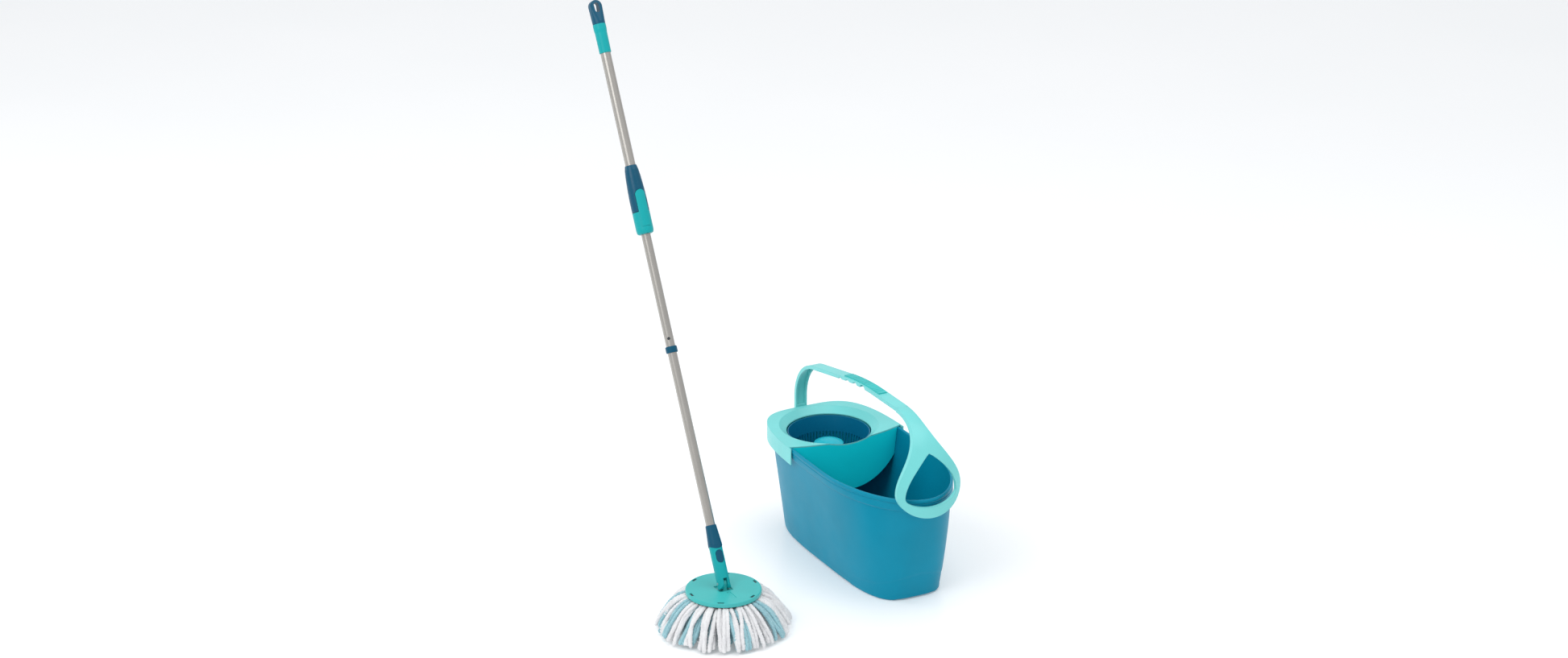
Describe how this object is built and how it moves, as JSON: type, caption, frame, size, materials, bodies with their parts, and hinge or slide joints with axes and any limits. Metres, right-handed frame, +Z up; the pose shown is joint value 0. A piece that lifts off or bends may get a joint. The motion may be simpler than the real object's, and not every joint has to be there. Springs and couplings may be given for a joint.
{
  "type": "spin mop",
  "caption": "Push-handle spin mop with a round plate and chenille fringe, standing beside a long oval bucket with a spin-dry basket under a mint collar and a carry handle.",
  "frame": {"origin": "on the floor under the bucket, on its long centre line, at the middle of its base", "axes": "+Z up; +X along the bucket towards its pouring nose; the mop stands on the -Y side"},
  "size_m": [0.762, 0.7304, 1.2384],
  "materials": {
    "bucket_blue": "moulded, satin gloss",
    "mint": "moulded, satin gloss",
    "aqua": "moulded, satin gloss",
    "dark_teal": "moulded, satin gloss",
    "soft_pad": "soft-touch, matt",
    "steel_tube": "drawn tube, satin",
    "steel_small": "plain",
    "white_nylon": "natural",
    "dark_nylon": "natural",
    "microfibre": "chenille strands"
  },
  "bodies": {
    "bucket": {"bucket_shell": "bucket_blue", "basket_cradle": "mint", "wringing_bowl": "mint", "cradle_axle": "steel_small", "thrust_washer": "white_nylon", "axle_clip": "steel_small", "hinge_pin": "steel_small"},
    "basket": {"spin_basket": "dark_teal", "basket_hub": "aqua", "basket_bush": "white_nylon"},
    "carry_handle": {"carry_handle": "mint", "grip_pad": "soft_pad"},
    "mop_head": {"head_plate": "aqua", "fringe_carrier": "dark_nylon", "carrier_screws": "steel_small", "mop_fringe": "microfibre"},
    "lower_handle": {"neck": "aqua", "tilt_pin": "steel_small", "neck_sleeve": "dark_teal", "lower_tube": "steel_tube", "joint_ring": "dark_teal", "tube_spigot": "dark_nylon", "middle_tube": "steel_tube", "drive_nut": "white_nylon", "clutch_ring": "dark_nylon", "clutch_spring": "steel_small", "latch_spring": "steel_small", "snap_spring": "steel_small"},
    "release_button": {"release_button": "dark_teal", "latch_pin": "steel_small"},
    "snap_button": {"snap_button": "dark_nylon"},
    "drive_bush": {"guide_bush": "white_nylon"},
    "upper_handle": {"upper_tube": "steel_tube", "twist_rod": "steel_small", "rod_anchor": "dark_nylon", "anchor_rivet": "steel_small", "top_sleeve": "aqua", "hang_cap": "dark_teal", "grip_shell": "dark_teal", "grip_bush": "dark_nylon"},
    "lock_slider": {"grip_lock": "aqua"}
  },
  "joints": [
    {"name": "basket_spin", "type": "hinge", "parent": "bucket", "child": "basket", "pos_m": [-0.1554, 0, 0.2], "axis": [0, 0, 1], "continuous": true},
    {"name": "carry_handle_swing", "type": "hinge", "parent": "bucket", "child": "carry_handle", "pos_m": [-0.2908, 0, 0.238], "axis": [0, -1, 0], "range_deg": [0, 110]},
    {"name": "mop_lift", "type": "slide", "parent": "bucket", "child": "mop_head", "axis": [0, 0, 1], "range_m": [0, 0.3]},
    {"name": "handle_tilt", "type": "hinge", "parent": "mop_head", "child": "lower_handle", "pos_m": [0.188, -0.438, 0.104], "axis": [0, 1, 0], "range_deg": [-46.8, 103.2]},
    {"name": "release_button_press", "type": "slide", "parent": "lower_handle", "child": "release_button", "axis": [-0.8813, 0, -0.4726], "range_m": [0, 0.0015], "stiffness_N_per_m": 600, "springref_m": -0.0005},
    {"name": "snap_button_press", "type": "slide", "parent": "lower_handle", "child": "snap_button", "axis": [-0.7781, 0.4695, -0.4172], "range_m": [0, 0.002], "stiffness_N_per_m": 500, "springref_m": -0.0005},
    {"name": "handle_spin", "type": "hinge", "parent": "lower_handle", "child": "drive_bush", "pos_m": [-0.27037, -0.438, 0.95886], "axis": [0.4726, 0, -0.8813], "range_deg": [0, 646]},
    {"name": "handle_pump", "type": "slide", "parent": "drive_bush", "child": "upper_handle", "axis": [0.4726, 0, -0.8813], "range_m": [0, 0.215]},
    {"name": "lock_slide", "type": "slide", "parent": "upper_handle", "child": "lock_slider", "axis": [0.4726, 0, -0.8813], "range_m": [0, 0.008]}
  ],
  "couplings": [
    {"joint": "handle_spin", "follows": "handle_pump", "rad_per_m": 52.36}
  ]
}
